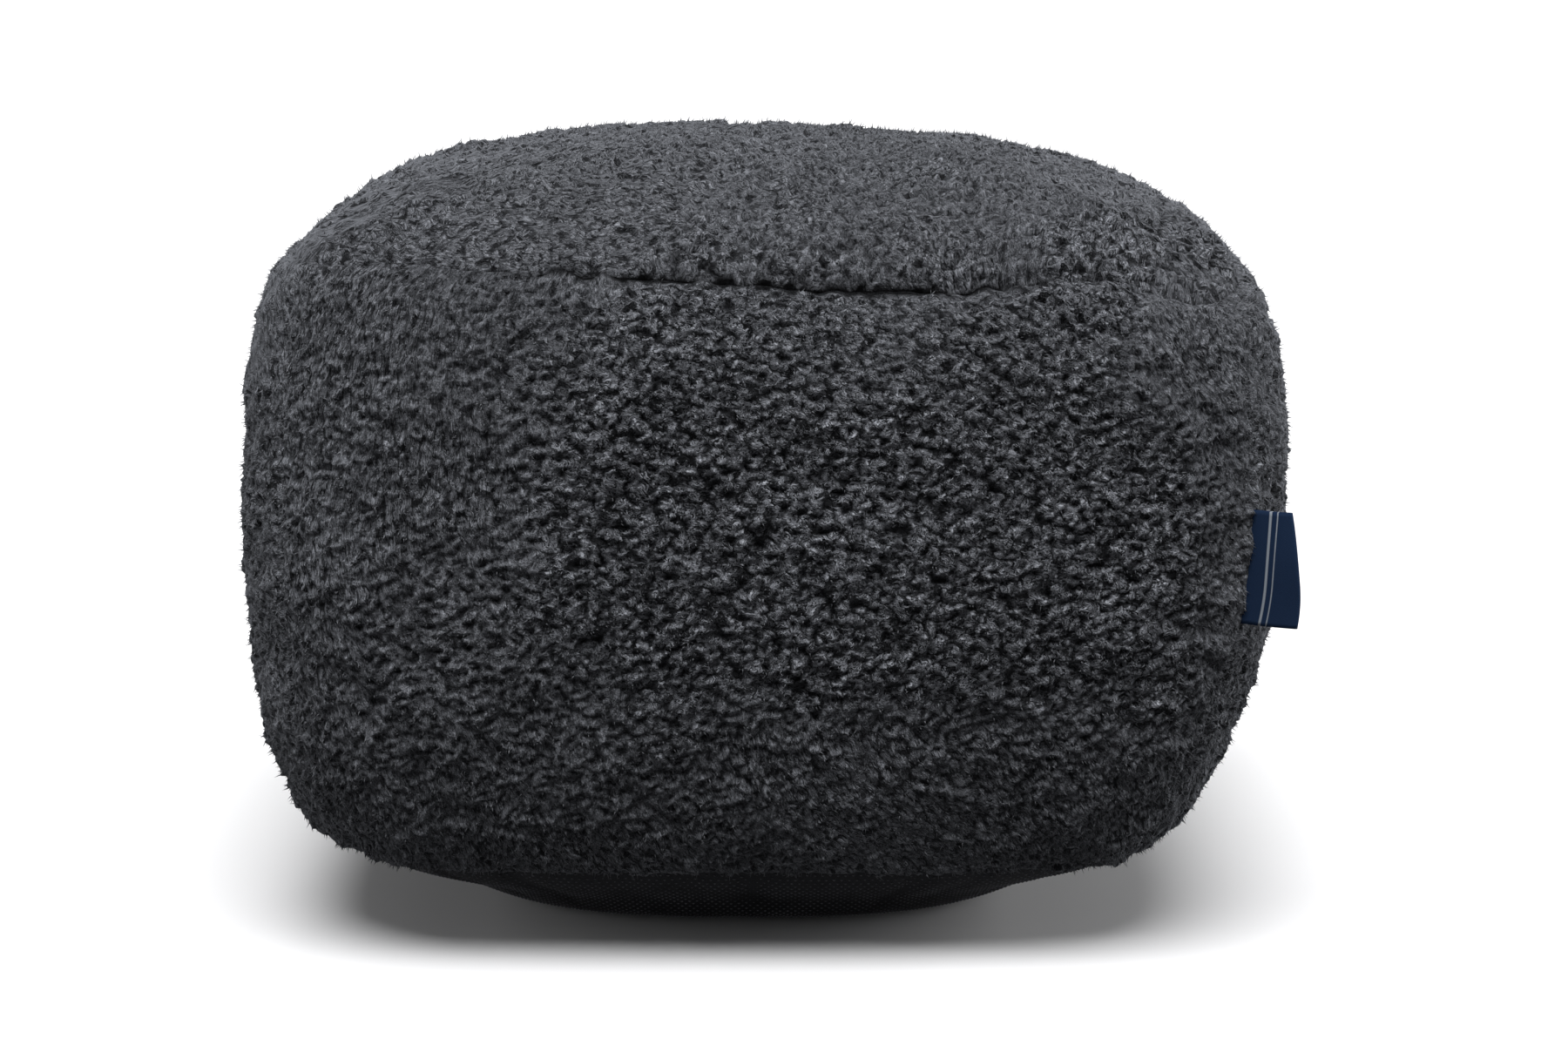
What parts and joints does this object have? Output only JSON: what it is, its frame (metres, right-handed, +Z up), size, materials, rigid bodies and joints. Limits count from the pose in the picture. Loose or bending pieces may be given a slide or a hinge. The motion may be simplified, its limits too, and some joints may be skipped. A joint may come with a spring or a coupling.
{
  "type": "bean bag footstool",
  "caption": "Square bean bag footstool in long-pile fleece, with a domed top panel, bulging side panels, a tucked non-slip base cloth and a folded side label.",
  "frame": {"origin": "middle of the flat patch on which the stool rests, at floor height", "axes": "+Z up; -Y towards the front panel; +X towards the right panel, seen from the front"},
  "size_m": [0.4546, 0.446, 0.3437],
  "materials": {
    "fleece": "charcoal grey long-pile fleece in tight curls, matt",
    "grip_cloth": "black non-slip cloth with small raised dots in staggered rows",
    "label_weave": "fine navy woven strip, folded double"
  },
  "bodies": {
    "root": {"filled_body": "fleece", "top_panel": "fleece", "base_panel": "grip_cloth", "side_label": "label_weave"}
  },
  "joints": []
}
